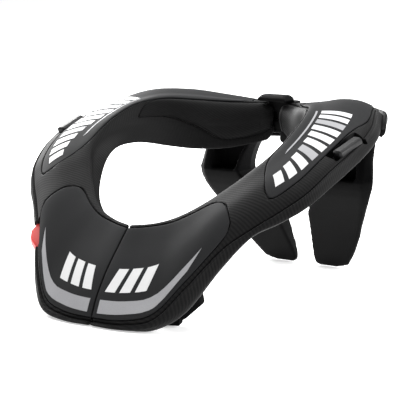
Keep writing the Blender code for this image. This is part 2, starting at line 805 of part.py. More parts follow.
def tab_mesh():
    """The tab, with a blunt point outward."""
    half_long = tab_long / 2
    outline = (
        (-half_long, -tab_deep),
        (half_long, -tab_deep),
        (half_long, -tab_sink),
        (half_long * tab_tip, tab_proud * 0.8),
        (half_long * tab_peak, tab_proud),
        (-half_long, -tab_sink),
    )
    return hull("release_tab", [
        tab_frame @ Vector((x, y, z)) for x, y in outline for z in (-tab_thick, 0)
    ])


half = bpy.data.objects["foam_frame_right"]
notch = box_mesh("tab_notch", tab_frame,
                 (-tab_long / 2 - fit, -tab_deep - tab_travel - fit, -tab_thick - fit),
                 (tab_long / 2 + fit, cut_overrun, tab_headroom))
cut(half, place("tab_notch", notch, None, -1))
place("release_tab", tab_mesh(), "red_plastic", -1, False)

# Latch under the wearer's left chest
latch_foot_print = skin_point(*latch_root)
latch_foot_print.z = 0


def latch_mesh(name, corners, grow=0.0):
    corners = [latch_foot_print + Vector(c) * MM for c in corners]
    middle = sum(corners, Vector((0, 0, 0))) / len(corners)
    return hull(name, [c + (c - middle).normalized() * grow for c in corners])


half = bpy.data.objects["foam_frame_left"]
latch = place("front_latch", latch_mesh("front_latch", latch_foot), "black_plastic", 1, False)
latch_tool = place("latch_arm", latch_mesh("latch_arm", latch_arm), None, 1, False)
boolean(latch, latch_tool, "UNION")
for label, corners in (("foot", latch_foot), ("arm", latch_arm)):
    pocket = latch_mesh("latch_pocket", corners, latch_pocket)
    cut(half, place("latch_pocket_" + label, pocket, None, 1, False))

# Stabiliser and hinge block
stabiliser = place("rear_stabiliser", stabiliser_mesh(), "black_plastic", 1, False)
for side_name, side in (("left", 1), ("right", -1)):
    pocket = place("pocket_" + side_name, pocket_mesh(), None, side, False)
    boolean(stabiliser, pocket, "DIFFERENCE")
    relief = place("relief_" + side_name, relief_mesh(), None, side, False)
    boolean(stabiliser, relief, "DIFFERENCE")
block_rings = (
    (block_foot, block_radius),
    (block_top - block_round, block_radius),
    (block_top - 0.3 * block_round, block_radius - 0.3 * block_round),
    (block_top, block_radius - block_round),
)
block = place("hinge_block", stadium_mesh("hinge_block", hinge_spread, block_rings),
              "black_plastic", 1)
boolean(block, place("block_cap", cap_mesh(), None, 1, False), "UNION")
for side_name, side in (("left", 1), ("right", -1)):
    slot = box_mesh("block_slot", Matrix.Identity(4),
                    (web_half, hinge_back - cut_overrun, slot_low),
                    (cut_overrun, hinge_back + cut_overrun, slot_high))
    boolean(block, place("block_slot_" + side_name, slot, None, side, False), "DIFFERENCE")
    bore = upright("block_bore", hinge_spread, pin_radius + pin_play,
                   pin_low - fit, pin_high + fit)
    boolean(block, place("block_bore_" + side_name, bore, None, side), "DIFFERENCE")
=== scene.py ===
"""Looks of a motocross neck brace: padded halves, moulded panels, hooks and a wishbone.

Metres, +Z up. The front of the brace faces -Y and the wearer's left is +X.
"""

import math

import bmesh
import bpy
from mathutils import Matrix, Vector


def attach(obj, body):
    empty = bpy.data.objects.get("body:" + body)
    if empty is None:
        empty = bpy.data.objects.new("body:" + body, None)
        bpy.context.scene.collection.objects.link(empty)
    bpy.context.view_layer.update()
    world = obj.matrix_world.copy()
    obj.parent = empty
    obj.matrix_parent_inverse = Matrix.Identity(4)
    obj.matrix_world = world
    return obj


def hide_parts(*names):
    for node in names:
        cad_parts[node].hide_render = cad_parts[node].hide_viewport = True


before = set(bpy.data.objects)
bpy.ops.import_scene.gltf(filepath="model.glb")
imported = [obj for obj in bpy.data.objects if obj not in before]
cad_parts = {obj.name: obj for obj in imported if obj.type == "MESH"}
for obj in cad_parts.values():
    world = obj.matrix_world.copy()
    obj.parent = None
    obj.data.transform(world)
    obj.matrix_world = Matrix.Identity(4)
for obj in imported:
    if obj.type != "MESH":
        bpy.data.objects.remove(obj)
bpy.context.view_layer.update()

MM = 0.001

# Sizes of the padded halves, as in the part
neck_radius = 80 * MM
rim_radius = 142 * MM
crest_height = 136.3 * MM
crown_height = 6.5 * MM
ring_middle = 123.4 * MM
box_middle = 119.3 * MM
front_split = 1.2 * MM
fit = 0.4 * MM
panel_thick = 1.6 * MM
seam_groove = 0.9 * MM
rim_swell = 0.8 * MM
wall_hollow = 2.0 * MM

# Sizes of the cloth and its seams
crease_deep = 0.9 * MM      # how far the cloth is drawn in at the crease over the rim
crease_wide = 2.4 * MM
crease_place = 4.04
crease_end = 168            # turn where the crease has run out
crease_run_out = 20
hollow_deep = 1.1 * MM      # and the broad hollow along it
hollow_wide = 9.0 * MM
seam_round = 0.7 * MM       # cloth rolling over into a panel's groove
front_round = 1.0 * MM      # edge of each half at the front seam
front_roll = 0.8            # degrees of turn that the edge takes
turn_step = 0.8             # of the cloth's mesh, in degrees
lobe_turn = 171.6           # turn where the mesh gets finer
lobe_step = 0.4
place_step = 0.1            # of the cloth's mesh, in places
fine_places = (3.83, 4.26)  # around the crease, where it gets finer
fine_place_step = 0.025

ring_columns = (
    "turn", "crest_out", "crest_up", "crown", "crease_out", "crease_up",
    "rim_out", "rim_up", "under_out", "under_up", "wall_out", "wall_up",
)
ring_rows = (
    (0, 1.007, 0.464, 0.62, 0.872, 0.028, 0.883, 0.006, 0.820, 0.000, 0.924, 0.388),
    (13, 0.989, 0.479, 0.62, 0.890, 0.036, 0.900, 0.006, 0.828, 0.000, 0.911, 0.402),
    (24, 0.998, 0.507, 0.68, 0.905, 0.076, 0.912, 0.030, 0.843, 0.014, 0.914, 0.426),
    (34, 1.007, 0.551, 0.79, 0.887, 0.226, 0.896, 0.118, 0.832, 0.100, 0.927, 0.467),
    (46, 1.012, 0.618, 1.00, 0.862, 0.409, 0.874, 0.322, 0.812, 0.306, 0.948, 0.530),
    (56, 1.042, 0.684, 0.98, 0.884, 0.512, 0.893, 0.470, 0.826, 0.452, 0.954, 0.602),
    (64, 1.087, 0.746, 0.87, 0.928, 0.591, 0.941, 0.534, 0.870, 0.518, 0.947, 0.673),
    (71, 1.118, 0.800, 0.67, 0.968, 0.668, 0.982, 0.598, 0.906, 0.584, 0.938, 0.726),
    (80, 1.100, 0.859, 0.51, 0.975, 0.771, 0.995, 0.693, 0.911, 0.683, 0.931, 0.762),
    (90, 1.069, 0.917, 0.41, 0.967, 0.849, 0.992, 0.775, 0.903, 0.760, 0.925, 0.773),
    (103, 1.030, 0.970, 0.60, 0.936, 0.916, 0.965, 0.844, 0.873, 0.815, 0.924, 0.764),
    (118, 0.976, 0.986, 0.95, 0.893, 0.964, 0.921, 0.890, 0.826, 0.820, 0.914, 0.731),
    (134, 0.941, 0.972, 0.92, 0.885, 0.962, 0.912, 0.900, 0.818, 0.818, 0.905, 0.704),
    (150, 0.984, 0.953, 0.70, 0.819, 0.938, 0.849, 0.900, 0.767, 0.811, 0.910, 0.700),
    (163, 1.060, 0.940, 0.42, 0.749, 0.932, 0.778, 0.896, 0.721, 0.814, 0.949, 0.715),
    (172, 1.105, 0.941, 0.20, 0.725, 0.930, 0.749, 0.892, 0.707, 0.825, 1.005, 0.735),
)
lobe_end = ((174.8, 0.96), (176.8, 0.85), (178.2, 0.55))
loop_length = 12

# Outlines on the skin: turn around the ring, first and last place along the section
chest_rows = (
    (0, 0.20, 3.80), (14, 0.20, 3.78), (26, 0.28, 3.70), (36, 0.40, 3.64),
    (43, 0.56, 3.60), (46.5, 0.76, 3.50), (48.6, 1.10, 3.30), (49.6, 1.60, 2.90),
)
shoulder_rows = (
    (62.4, 2.40, 2.86), (63.4, 1.90, 3.02), (65.5, 1.20, 3.06), (69.4, 0.46, 3.00),
    (74.0, 0.16, 2.98), (80.0, 0.12, 2.96), (86.0, 0.12, 2.92), (93.0, 0.12, 2.96),
    (99.0, 0.12, 3.16), (104.0, 0.12, 3.44), (108.0, 0.12, 3.60), (116.0, 0.12, 3.70),
    (128.0, 0.12, 3.74), (140.0, 0.12, 3.72), (150.0, 0.14, 3.62), (157.5, 0.20, 3.44),
    (162.0, 0.40, 3.10), (164.5, 0.90, 2.50),
)
pad_rows = (
    (103.0, 11.27, 11.36), (105.0, 11.25, 11.62), (108.0, 11.24, 11.86), (113.0, 11.24, 12.0),
    (122.0, 11.18, 12.0), (129.0, 11.06, 12.0), (135.0, 10.92, 12.0),
    (141.0, 10.74, 12.0), (147.0, 10.54, 12.0), (154.0, 10.42, 12.0),
    (161.0, 10.42, 12.0), (168.0, 10.44, 12.0), (173.0, 10.50, 12.0),
    (177.4, 10.62, 11.94),
)
shell_rows = (
    (112.0, 5.75, 6.20), (116.0, 5.60, 6.34), (124.0, 5.50, 6.40),
    (134.0, 5.50, 6.40), (144.0, 5.52, 6.38), (150.0, 5.66, 6.24),
)
pad_seat = 2.2 * MM         # how far the shown pad reaches into its recess
pad_swell = 6.6 * MM        # crown of the pad near the middle of the back
pad_crown = 0.9 * MM        # and at its front end
pad_fat_turns = (106, 150)  # between these turns the pad grows fat
pad_round_turns = (9.0, 5.0)  # rounding of its front and rear end, in degrees
pad_groove = 0.15 * MM
shell_thick = 3.6 * MM


def smooth(rows, at, column):
    """A column's value at a turn, on a smooth curve through the rows."""
    at = min(max(at, rows[0][0]), rows[-1][0])
    i = max(k for k in range(len(rows) - 1) if rows[k][0] <= at)
    here, there = rows[i], rows[i + 1]
    before = rows[max(i - 1, 0)]
    after = rows[min(i + 2, len(rows) - 1)]
    gap = there[0] - here[0]
    share = (at - here[0]) / gap
    slope_here = gap * (there[column] - before[column]) / (there[0] - before[0])
    slope_there = gap * (after[column] - here[column]) / (after[0] - here[0])
    return (
        (2 * share**3 - 3 * share**2 + 1) * here[column]
        + (share**3 - 2 * share**2 + share) * slope_here
        + (3 * share**2 - 2 * share**3) * there[column]
        + (share**3 - share**2) * slope_there
    )


known_sections = {}


def section(turn):
    """Control points of the section at a turn, as (radius, height)."""
    if turn in known_sections:
        return known_sections[turn]
    last = ring_rows[-1][0]
    v = {name: smooth(ring_rows, turn, i) for i, name in enumerate(ring_columns)}
    top = Vector((v["crest_out"] * neck_radius, v["crest_up"] * crest_height))
    edge = Vector((v["crease_out"] * rim_radius, v["crease_up"] * crest_height))
    widest = Vector((v["rim_out"] * rim_radius, v["rim_up"] * crest_height))
    below = Vector((v["under_out"] * rim_radius, v["under_up"] * crest_height))
    foot = Vector((v["wall_out"] * neck_radius, v["wall_up"] * crest_height))
    along = (edge - top).normalized()
    swell = Vector((-along.y, along.x)) * v["crown"] * crown_height
    points = [
        top,
        top.lerp(edge, 0.25) + 0.6 * swell,
        top.lerp(edge, 0.52) + swell,
        top.lerp(edge, 0.78) + 0.8 * swell,
        edge,
        edge.lerp(widest, 0.35) + (widest - below).normalized() * rim_swell,
        widest,
        below,
        below.lerp(foot, 0.35),
        below.lerp(foot, 0.70),
        foot,
        foot.lerp(top, 0.5) + Vector((wall_hollow, 0)),
    ]
    if turn > last:
        size = smooth(((last, 1.0),) + lobe_end, turn, 1)
        middle = sum(points, Vector((0, 0))) / len(points)
        points = [middle + (p - middle) * size for p in points]
    known_sections[turn] = points
    return points


def skin_point(turn, along):
    """A point of the left half's skin, at a turn and a place along the section."""
    points = section(turn)
    i = math.floor(along)
    share = along - i
    a, b, c, d = (points[(i + k) % loop_length] for k in (-1, 0, 1, 2))
    flat = 0.5 * (
        2 * b
        + (c - a) * share
        + (2 * a - 5 * b + 4 * c - d) * share**2
        + (3 * b - a - 3 * c + d) * share**3
    )
    angle = math.radians(turn)
    return Vector((
        flat.x * math.sin(angle) + front_split / 2,
        ring_middle - box_middle - flat.x * math.cos(angle),
        max(flat.y, 0.0),
    ))


def skin_normal(turn, along):
    by_turn = skin_point(turn + 0.2, along) - skin_point(turn - 0.2, along)
    by_place = skin_point(turn, along + 0.02) - skin_point(turn, along - 0.02)
    return by_place.cross(by_turn).normalized()


def spread(rows, step):
    """Rows a step of turn apart, on smooth curves through the table."""
    turns = []
    for here, there in zip(rows[:-1], rows[1:]):
        count = max(1, round((there[0] - here[0]) / step))
        turns += [here[0] + (there[0] - here[0]) * k / count for k in range(count)]
    turns.append(rows[-1][0])
    return [tuple(smooth(rows, t, c) for c in range(len(rows[0]))) for t in turns]


# Cloth lies over the sides with its ribs from side to side, and follows the ring behind.
rib_radius = 105.0          # millimetres of cloth for one radian of turn
rib_turns = 100.0           # turn where the ribs begin to follow the ring
place_length = 17.0         # millimetres of cloth for one place


def cloth_at(turn, along):
    """Millimetres of cloth across its ribs and along them."""
    across = skin_point(min(turn, rib_turns), along).y / MM
    return across + math.radians(max(0.0, turn - rib_turns)) * rib_radius, along * place_length


def new_piece(name, mesh, material, side=1):
    """A mesh as a piece of the wearer's left or, mirrored, right half."""
    shape = bmesh.new()
    shape.from_mesh(mesh)
    for vertex in shape.verts:
        vertex.co.x *= side
    bmesh.ops.recalc_face_normals(shape, faces=shape.faces)
    if shape.calc_volume(signed=True) < 0:
        bmesh.ops.reverse_faces(shape, faces=shape.faces)
    for face in shape.faces:
        face.smooth = True
    shape.to_mesh(mesh)
    shape.free()
    piece = bpy.data.objects.new(name, mesh)
    bpy.context.scene.collection.objects.link(piece)
    if material:
        mesh.materials.append(material)
    return piece


def cloth_mesh(name, points, faces, places):
    """A mesh whose UV map 'cloth' holds millimetres of cloth along and across the ribs."""
    mesh = bpy.data.meshes.new(name)
    mesh.from_pydata([tuple(p) for p in points], [], faces)
    cloth = mesh.uv_layers.new(name="cloth")
    for polygon in mesh.polygons:
        corners = [places[mesh.loops[k].vertex_index] for k in polygon.loop_indices]
        wraps = max(c[1] for c in corners) - min(c[1] for c in corners) > loop_length / 2
        for k, (turn, along) in zip(polygon.loop_indices, corners):
            if wraps and along < loop_length / 2:
                along += loop_length
            cloth.data[k].uv = cloth_at(turn, along)
    return mesh


def skin_slab(name, rows, layers, across=24, step=1.0, swell=None):
    """A solid that follows the skin through layers of (lift, how far its edge is widened)."""
    rows = spread(rows, step)
    points, places = [], []
    wide = across + 1
    for number, (lift, widen) in enumerate(layers):
        for i, (turn, first, last) in enumerate(rows):
            for j in range(wide):
                share = j / across
                along = first + (last - first) * share
                at = turn
                if j in (0, across):
                    reach = (skin_point(turn, along + 0.05) - skin_point(turn, along)).length / 0.05
                    along += widen / reach * (1 if j else -1)
                if i in (0, len(rows) - 1):
                    reach = (skin_point(turn + 0.5, along) - skin_point(turn, along)).length / 0.5
                    at += widen / reach * (1 if i else -1)
                height = lift
                if swell and number == len(layers) - 1:
                    height += swell(turn, share)
                points.append(skin_point(at, along) + skin_normal(at, along) * height)
                places.append((at, along))
    count = len(rows) * wide
    top = (len(layers) - 1) * count
    faces = []
    for i in range(len(rows) - 1):
        for j in range(across):
            square = [i * wide + j, i * wide + j + 1, (i + 1) * wide + j + 1, (i + 1) * wide + j]
            faces.append(square)
            faces.append([top + k for k in reversed(square)])
    border = [i * wide for i in range(len(rows))]
    border += [(len(rows) - 1) * wide + j for j in range(1, wide)]
    border += [i * wide + across for i in range(len(rows) - 2, -1, -1)]
    border += list(range(across - 1, 0, -1))
    for layer in range(len(layers) - 1):
        low = layer * count
        for here, there in zip(border, border[1:] + border[:1]):
            faces.append([low + here, low + there, low + count + there, low + count + here])
    used = sorted({k for face in faces for k in face})
    index = {k: n for n, k in enumerate(used)}
    return cloth_mesh(
        name,
        [points[k] for k in used],
        [[index[k] for k in face] for face in faces],
        [places[k] for k in used],
    )


def crease_at(turn, along):
    """How far the cloth is drawn in where the rim rolls under the crease."""
    from_crease = abs(along - crease_place) * place_length * MM
    if from_crease > hollow_wide * 1.5:
        return 0.0
    fade = min(1.0, max(0.0, (crease_end - turn) / crease_run_out))
    fold = crease_deep * math.exp(-((from_crease / (crease_wide / 2)) ** 2))
    return fade * (fold + hollow_deep * math.exp(-((from_crease / (hollow_wide / 2)) ** 2)))


def half_mesh(name):
    """The padded half, closed at both ends, fine enough for its creases."""
    turns = [0.0, 0.35]
    turns += [turn_step * k for k in range(1, math.ceil(lobe_turn / turn_step))]
    lobe_count = math.floor((lobe_end[-1][0] - lobe_turn) / lobe_step) + 1
    turns += [lobe_turn + lobe_step * k for k in range(lobe_count)]
    alongs = []
    along = 0.0
    while along < loop_length - 0.01:
        alongs.append(along)
        along += fine_place_step if fine_places[0] < along < fine_places[1] else place_step
    points, places = [], []
    for turn in turns:
        inward = front_round * max(0.0, 1 - turn / front_roll) ** 2
        for along in alongs:
            lift = -inward - crease_at(turn, along)
            point = skin_point(turn, along) + skin_normal(max(turn, 0.3), along) * lift
            if turn == 0:
                point.x = front_split / 2
            point.z = max(point.z, inward * 0.3)
            points.append(point)
            places.append((turn, along))
    per_loop = len(alongs)
    faces = [
        (
            i * per_loop + j,
            i * per_loop + (j + 1) % per_loop,
            (i + 1) * per_loop + (j + 1) % per_loop,
            (i + 1) * per_loop + j,
        )
        for i in range(len(turns) - 1)
        for j in range(per_loop)
    ]
    faces.append(tuple(range(per_loop)))
    faces.append(tuple((len(turns) - 1) * per_loop + j for j in range(per_loop)))
    return cloth_mesh(name, points, faces, places)


def only(piece):
    bpy.ops.object.select_all(action="DESELECT")
    piece.select_set(True)
    bpy.context.view_layer.objects.active = piece


def apply_all(piece):
    only(piece)
    for modifier in list(piece.modifiers):
        bpy.ops.object.modifier_apply(modifier=modifier.name)


def take_away(piece, cutter):
    modifier = piece.modifiers.new("cut", "BOOLEAN")
    modifier.operation = "DIFFERENCE"
    modifier.solver = "MANIFOLD"
    modifier.object = cutter
    apply_all(piece)
    bpy.data.objects.remove(cutter, do_unlink=True)


def round_edges(piece, width, segments):
    modifier = piece.modifiers.new("rounded", "BEVEL")
    modifier.width = width
    modifier.segments = segments
    modifier.limit_method = "ANGLE"
    modifier.angle_limit = math.radians(30)
    modifier.miter_outer = "MITER_ARC"
    apply_all(piece)


def shade(piece, angle):
    only(piece)
    bpy.ops.object.shade_smooth_by_angle(angle=math.radians(angle))
    apply_all(piece)


# Materials


def new_material(name, colour, roughness, metallic=0.0):
    material = bpy.data.materials.new(name)
    material.use_nodes = True
    shader = material.node_tree.nodes["Principled BSDF"]
    shader.inputs["Base Color"].default_value = (*colour, 1.0)
    shader.inputs["Roughness"].default_value = roughness
    shader.inputs["Metallic"].default_value = metallic
    return material, material.node_tree, shader


def maths(tree, operation, *inputs):
    made = tree.nodes.new("ShaderNodeMath")
    made.operation = operation
    for number, value in enumerate(inputs):
        if isinstance(value, (int, float)):
            made.inputs[number].default_value = value
        else:
            tree.links.new(value, made.inputs[number])
    return made.outputs[0]


def mixed(tree, factor, first, second):
    """A colour between two, by a factor from 0 to 1."""
    made = tree.nodes.new("ShaderNodeMix")
    made.data_type = "RGBA"
    tree.links.new(factor, made.inputs[0])
    for socket, value in ((made.inputs[6], first), (made.inputs[7], second)):
        if isinstance(value, tuple):
            socket.default_value = (*value, 1.0)
        else:
            tree.links.new(value, socket)
    return made.outputs[2]


def bumped(tree, shader, height, strength, distance):
    bump = tree.nodes.new("ShaderNodeBump")
    bump.inputs["Strength"].default_value = strength
    bump.inputs["Distance"].default_value = distance
    tree.links.new(height, bump.inputs["Height"])
    tree.links.new(bump.outputs[0], shader.inputs["Normal"])


def noise_of(tree, scale, detail=4.0):
    """Noise in the object's own space, cells to the metre."""
    where = tree.nodes.new("ShaderNodeTexCoord")
    made = tree.nodes.new("ShaderNodeTexNoise")
    made.inputs["Scale"].default_value = scale
    made.inputs["Detail"].default_value = detail
    tree.links.new(where.outputs["Object"], made.inputs["Vector"])
    return made.outputs["Fac"]


def clamp(tree, value, low, high):
    """The value's share of the way from low to high."""
    made = tree.nodes.new("ShaderNodeMapRange")
    made.inputs[1].default_value = low
    made.inputs[2].default_value = high
    tree.links.new(value, made.inputs[0])
    return made.outputs[0]


def rib_fabric(name, colour, light, rib_wide, stitch_long, lean):
    """Ribbed stretch cloth: rows of knit stitches, turned by lean, its colour painted lighter on the
    ribs' tops as a highlight and darker between them as shade.
    """
    material, tree, shader = new_material(name, colour, 0.62)
    uv = tree.nodes.new("ShaderNodeUVMap")
    uv.uv_map = "cloth"
    parts = tree.nodes.new("ShaderNodeSeparateXYZ")
    tree.links.new(uv.outputs[0], parts.inputs[0])
    wander = maths(tree, "MULTIPLY", maths(tree, "SUBTRACT", noise_of(tree, 90.0), 0.5), 0.9)
    over = maths(tree, "MULTIPLY_ADD", parts.outputs[0], math.cos(lean), wander)
    across = maths(tree, "MULTIPLY_ADD", parts.outputs[1], math.sin(lean), over)
    back = maths(tree, "MULTIPLY", parts.outputs[0], -math.sin(lean))
    beside = maths(tree, "MULTIPLY_ADD", parts.outputs[1], math.cos(lean), back)
    ribs = maths(tree, "SINE", maths(tree, "MULTIPLY", across, 2 * math.pi / rib_wide))
    ribs = maths(tree, "MULTIPLY_ADD", ribs, 0.5, 0.5)
    stitch = maths(tree, "SINE", maths(tree, "MULTIPLY", beside, 2 * math.pi / stitch_long))
    stitch = maths(tree, "MULTIPLY_ADD", stitch, 0.5, 0.5)
    height = maths(tree, "MULTIPLY_ADD", stitch, 0.22, ribs)
    fibre = noise_of(tree, 2600.0, 2.0)
    height = maths(tree, "MULTIPLY_ADD", fibre, 0.35, height)
    worn = clamp(tree, noise_of(tree, 14.0, 3.0), 0.3, 0.75)
    # Painted highlight on the ribs' tops and painted shade in the valleys; the noises vary the tone
    # at random
    lit = maths(tree, "MULTIPLY", ribs, maths(tree, "MULTIPLY_ADD", worn, 0.5, 0.5))
    lit = maths(tree, "MULTIPLY", lit, maths(tree, "MULTIPLY_ADD", fibre, 0.8, 0.6))
    tree.links.new(mixed(tree, lit, colour, light), shader.inputs["Base Color"])
    rough = maths(tree, "MULTIPLY_ADD", ribs, -0.14, 0.72)
    tree.links.new(rough, shader.inputs["Roughness"])
    shader.inputs["Sheen Weight"].default_value = 0.07
    shader.inputs["Sheen Roughness"].default_value = 0.30
    shader.inputs["Specular IOR Level"].default_value = 0.12
    bumped(tree, shader, height, 0.28, 0.15 * MM)
    return material


def moulded(name, colour, light, roughness, grain, depth, specular=0.5):
    """A moulded surface: fine grain, faint unevenness in colour and gloss."""
    material, tree, shader = new_material(name, colour, roughness)
    fine = noise_of(tree, grain, 3.0)
    broad = clamp(tree, noise_of(tree, 22.0, 3.0), 0.3, 0.7)
    speck = clamp(tree, fine, 0.35, 0.7)
    tone = maths(tree, "MULTIPLY_ADD", speck, 0.5, maths(tree, "MULTIPLY", broad, 0.5))
    tree.links.new(mixed(tree, tone, colour, light), shader.inputs["Base Color"])
    rough = maths(tree, "MULTIPLY_ADD", broad, 0.10, roughness - 0.05)
    rough = maths(tree, "MULTIPLY_ADD", speck, 0.06, rough)
    tree.links.new(rough, shader.inputs["Roughness"])
    shader.inputs["Specular IOR Level"].default_value = specular
    bumped(tree, shader, fine, 0.5, depth * MM)
    return material


def brushed_steel(name):
    material, tree, shader = new_material(name, (0.55, 0.55, 0.56), 0.30, 1.0)
    where = tree.nodes.new("ShaderNodeTexCoord")
    turned = tree.nodes.new("ShaderNodeMapping")
    turned.inputs["Scale"].default_value = (200.0, 200.0, 6000.0)
    lines = tree.nodes.new("ShaderNodeTexNoise")
    lines.inputs["Scale"].default_value = 1.0
    tree.links.new(where.outputs["Object"], turned.inputs["Vector"])
    tree.links.new(turned.outputs[0], lines.inputs["Vector"])
    rough = maths(tree, "MULTIPLY_ADD", lines.outputs["Fac"], 0.2, 0.22)
    tree.links.new(rough, shader.inputs["Roughness"])
    bumped(tree, shader, lines.outputs["Fac"], 0.3, 0.05 * MM)
    return material


rib_cloth = rib_fabric(
    "ribbed_cloth", (0.0026, 0.0026, 0.0028), (0.0080, 0.0078, 0.0078), 1.55, 1.0, 0.0)
# The inner pads wear the ribbed cloth painted darker, as painted shade of the ring's inner wall
shaded_pad_cloth = rib_fabric(
    "shaded_pad_cloth", (0.0014, 0.0014, 0.0015), (0.0050, 0.0049, 0.0050), 1.5, 1.0, 1.2)
panel_rubber = moulded(
    "charcoal_panel", (0.0120, 0.0122, 0.0129), (0.0165, 0.0167, 0.0175), 0.64, 2200.0, 0.05, 0.11)
white_film = moulded("white_film", (0.60, 0.60, 0.60), (0.68, 0.68, 0.68), 0.42, 2200.0, 0.03)
grey_film = moulded("grey_film", (0.24, 0.24, 0.25), (0.31, 0.31, 0.32), 0.45, 2200.0, 0.03)
black_plastic = moulded(
    "grained_black_plastic", (0.0011, 0.0011, 0.0012), (0.0024, 0.0024, 0.0026), 0.48,
    1300.0, 0.10, 0.07)
# Matt black: the latch's own finish, and in the stabiliser's pockets painted shade, darker there for
# its lower gloss
matt_plastic_and_pocket_shade = moulded(
    "matt_black_and_painted_pocket_shade", (0.0016, 0.0016, 0.0018), (0.0030, 0.0030, 0.0032), 0.80,
    900.0, 0.12, 0.05)
hook_plastic = moulded(
    "satin_black_plastic", (0.0040, 0.0040, 0.0044), (0.0075, 0.0075, 0.0080), 0.40,
    2400.0, 0.05, 0.28)
red_plastic = moulded(
    "red_plastic", (0.60, 0.026, 0.022), (0.70, 0.050, 0.042), 0.38, 1800.0, 0.05)
steel = brushed_steel("brushed_steel")


# Cuts that the padded halves share with the part


def box_cutter(matrix, low, high):
    corners = [
        matrix @ Vector((x, y, z))
        for x in (low[0], high[0])
        for y in (low[1], high[1])
        for z in (low[2], high[2])
    ]
    return hull_mesh(corners)


def hull_mesh(corners):
    shape = bmesh.new()
    for corner in corners:
        shape.verts.new(corner)
    made = bmesh.ops.convex_hull(shape, input=shape.verts)
    bmesh.ops.delete(shape, geom=made["geom_interior"], context="VERTS")
    mesh = bpy.data.meshes.new("cut")
    shape.to_mesh(mesh)
    shape.free()
    return mesh


# Strap hook, hinge and tab, as in the part
hook_ends = ((85.0, 3.495), (94.25, 3.774))
hook_sink = 0.25 * MM
hook_front, hook_back = (skin_point(*end) - skin_normal(*end) * hook_sink for end in hook_ends)
hook_half_wide = 2.8 * MM
hook_reach = 3.5 * MM
hook_depth = 7.2 * MM
scoop_in = 7.6 * MM
scoop_out = 3.6 * MM
scoop_round = 2.2 * MM
hook_tilt = 6.0
hook_shorter = 0.86         # the shown hook is shorter and stouter than its solid
hook_stouter = 1.45
hinge_spread = 6.2 * MM
hinge_back = 219.0 * MM - box_middle
hinge_middle = 115 * MM     # height of the middle of the room for the hinge
hinge_room_tall = 70 * MM
block_room = 8.8 * MM
block_low = 129.7 * MM      # top of the shown block behind its cap
cap_back = -3.4 * MM        # back of the cap from the pins
tab_turn, tab_place = 45.5, 5.35
tab_long, tab_deep, tab_thick, tab_travel = 23.0 * MM, 15.0 * MM, 8.5 * MM, 2.5 * MM
latch_pocket = 0.9 * MM
notch_top = 12 * MM
past_skin = 30 * MM         # cuts run this far past the skin

# The stabiliser's pockets, as in the part
pocket_foot, pocket_top = 72.5 * MM, 104 * MM
pocket_inner = 30 * MM      # from the middle
pocket_back = hinge_back + 8.2 * MM


def axes_matrix(origin, x, y, z):
    return Matrix.Translation(origin) @ Matrix((
        (x.x, y.x, z.x), (x.y, y.y, z.y), (x.z, y.z, z.z),
    )).to_4x4()


def hook_seat():
    along = (hook_back - hook_front).normalized()
    out = Vector((1, 0, 0))
    out = (out - along * out.dot(along)).normalized()
    up = along.cross(out)
    if up.z < 0:
        up = -up
    place = axes_matrix((hook_front + hook_back) / 2, along, out, up)
    return place @ Matrix.Rotation(math.radians(-hook_tilt), 4, "X")


def tab_seat():
    along = (skin_point(tab_turn + 3, tab_place) - skin_point(tab_turn - 3, tab_place)).normalized()
    angle = math.radians(tab_turn)
    out = Vector((math.sin(angle), -math.cos(angle), 0))
    out = (out - along * out.dot(along)).normalized()
    up = out.cross(along)
    if up.z < 0:
        up = -up
    return axes_matrix(skin_point(tab_turn, tab_place), along, out, up)


def hinge_room(side):
    """A round cutter about a half's pin, which leaves room for the block."""
    bpy.ops.mesh.primitive_cylinder_add(
        vertices=48, radius=block_room, depth=hinge_room_tall,
        location=(side * hinge_spread, hinge_back, hinge_middle),
    )
    return bpy.context.object


# Layers of the recesses and of what sits in them: (lift from the skin, widening)
recess_step = 1.5
panel_recess = (
    (-panel_thick - 1.2 * fit, seam_groove), (-seam_round, seam_groove),
    (-0.3 * seam_round, seam_groove + 0.3 * seam_round),
    (0.3 * MM, seam_groove + 1.3 * seam_round), (6 * MM, seam_groove + 6 * seam_round),
)
pad_recess = (
    (-pad_seat - fit, pad_groove), (-0.4 * seam_round, pad_groove),
    (0.0, pad_groove + 0.2 * seam_round), (3 * MM, pad_groove + 0.8 * MM),
)
panel_layers = (
    (-panel_thick, -0.5 * MM), (-0.7 * MM, 0.0), (-0.25 * MM, -0.05 * MM),
    (0.0, -0.35 * MM), (0.05 * MM, -0.8 * MM),
)
pad_layers = (
    (-pad_seat, -0.8 * MM), (-0.9 * MM, 0.0), (-0.2 * MM, -0.15 * MM), (0.2 * MM, -0.8 * MM),
)
shell_layers = (
    (fit, -0.4 * MM), (shell_thick - 0.9 * MM, 0.0), (shell_thick - 0.3 * MM, -0.3 * MM),
    (shell_thick, -1.0 * MM),
)


